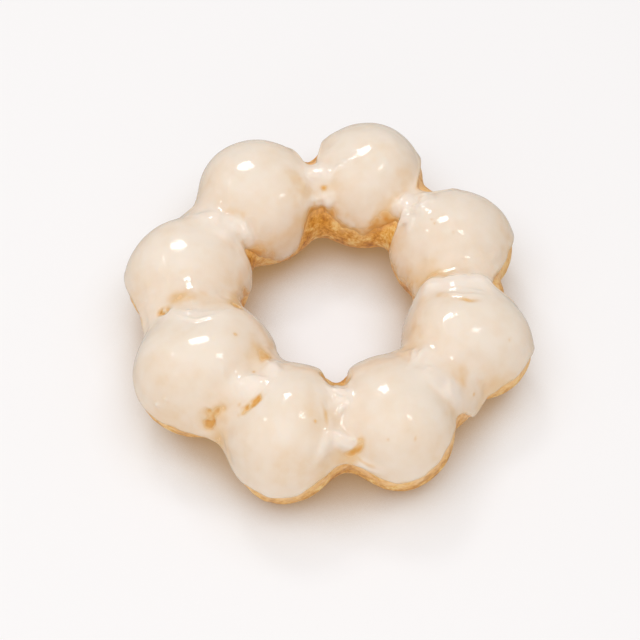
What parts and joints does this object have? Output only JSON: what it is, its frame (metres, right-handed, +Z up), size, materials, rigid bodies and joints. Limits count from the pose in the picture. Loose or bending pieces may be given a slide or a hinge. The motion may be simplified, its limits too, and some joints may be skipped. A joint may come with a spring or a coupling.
{
  "type": "mochi doughnut",
  "caption": "Ring doughnut of joined dough balls, fried golden brown, under a thin milky sugar glaze that pools in the creases.",
  "frame": {"origin": "under the middle of the bounding box, at the level the doughnut rests on", "axes": "+Z up through the hole, -Y towards the picture's viewer, +X to the viewer's right"},
  "size_m": [0.0922, 0.1016, 0.0272],
  "materials": {
    "fried_dough": "golden-brown fried crust, slightly rough",
    "sugar_glaze": "thin milky sugar glaze, glossy, translucent"
  },
  "bodies": {
    "root": {"dough_ring": "fried_dough", "glaze": "sugar_glaze"}
  },
  "joints": []
}
